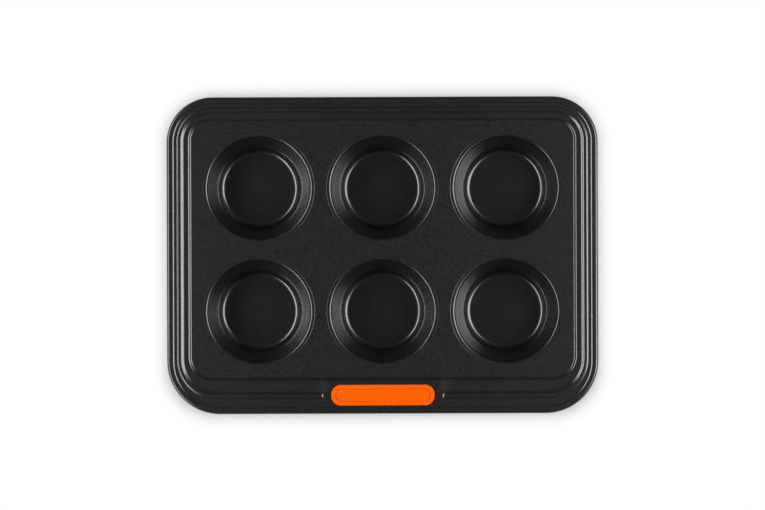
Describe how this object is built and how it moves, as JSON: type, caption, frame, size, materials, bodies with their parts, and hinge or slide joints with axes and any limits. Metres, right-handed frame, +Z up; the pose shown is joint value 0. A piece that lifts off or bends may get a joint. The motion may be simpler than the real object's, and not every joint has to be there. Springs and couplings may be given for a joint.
{
  "type": "muffin pan",
  "caption": "Rectangular muffin pan pressed from one coated steel sheet, with round flat-bottomed cups in a sunken deck, a beaded rim curled over a wire and a silicone grip in its front.",
  "frame": {"origin": "middle of the pan's outline, on the plane that the undersides of the cups stand on", "axes": "+X along the pan's long side, +Y away from the rim that holds the grip, +Z up"},
  "size_m": [0.3006, 0.221, 0.0388],
  "materials": {
    "non_stick_coating": "satin black non-stick coating with a fine grain",
    "zinc_plated_wire": "dull zinc plating",
    "orange_silicone": "matt moulded silicone"
  },
  "bodies": {
    "root": {"pan_body": "non_stick_coating", "rim_wire": "zinc_plated_wire", "silicone_grip": "orange_silicone"}
  },
  "joints": []
}
